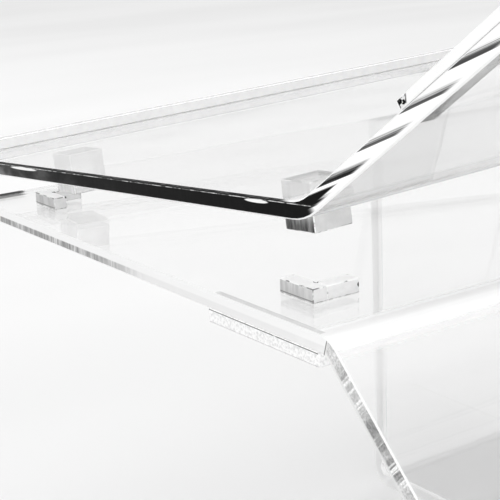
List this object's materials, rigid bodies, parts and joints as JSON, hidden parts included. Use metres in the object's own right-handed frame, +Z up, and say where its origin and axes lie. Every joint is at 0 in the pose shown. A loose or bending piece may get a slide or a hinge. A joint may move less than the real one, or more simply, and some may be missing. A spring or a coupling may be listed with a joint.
{
  "type": "bible stand",
  "caption": "Clear stand for a bible: a riser table on a splayed back leg carries a bent, lift-off book rest whose feet drop inside corner stops.",
  "frame": {"origin": "on the floor, in the middle of the stand's bounding box", "axes": "+X to the right of someone reading from the stand, +Y away from that reader, +Z up"},
  "size_m": [0.5842, 0.479, 0.3607],
  "materials": {
    "clear_acrylic_sheet": "polished faces with sawn edges",
    "clear_acrylic_strip": "polished faces with sawn edges",
    "clear_acrylic_block": "polished faces with sawn edges"
  },
  "bodies": {
    "riser": {"riser_top_sheet": "clear_acrylic_sheet", "riser_leg_sheet": "clear_acrylic_sheet", "riser_edge_strip_right": "clear_acrylic_strip", "riser_edge_strip_left": "clear_acrylic_strip", "stop_back_right_long": "clear_acrylic_strip", "stop_back_right_short": "clear_acrylic_strip", "stop_front_right_long": "clear_acrylic_strip", "stop_front_right_short": "clear_acrylic_strip", "stop_back_left_long": "clear_acrylic_strip", "stop_back_left_short": "clear_acrylic_strip", "stop_front_left_long": "clear_acrylic_strip", "stop_front_left_short": "clear_acrylic_strip"},
    "rest": {"rest_sheet": "clear_acrylic_sheet", "rest_front_ledge": "clear_acrylic_strip", "rest_foot_back_right": "clear_acrylic_block", "rest_foot_front_right": "clear_acrylic_block", "rest_foot_back_left": "clear_acrylic_block", "rest_foot_front_left": "clear_acrylic_block", "rest_panel_strip_right": "clear_acrylic_strip", "rest_panel_strip_left": "clear_acrylic_strip"}
  },
  "joints": [
    {"name": "rest_rock", "type": "hinge", "parent": "riser", "child": "rest", "pos_m": [0.28795, -0.23751, 0.2231], "axis": [0.8949, 0.4462, 0], "range_deg": [-5.5, 15]}
  ]
}
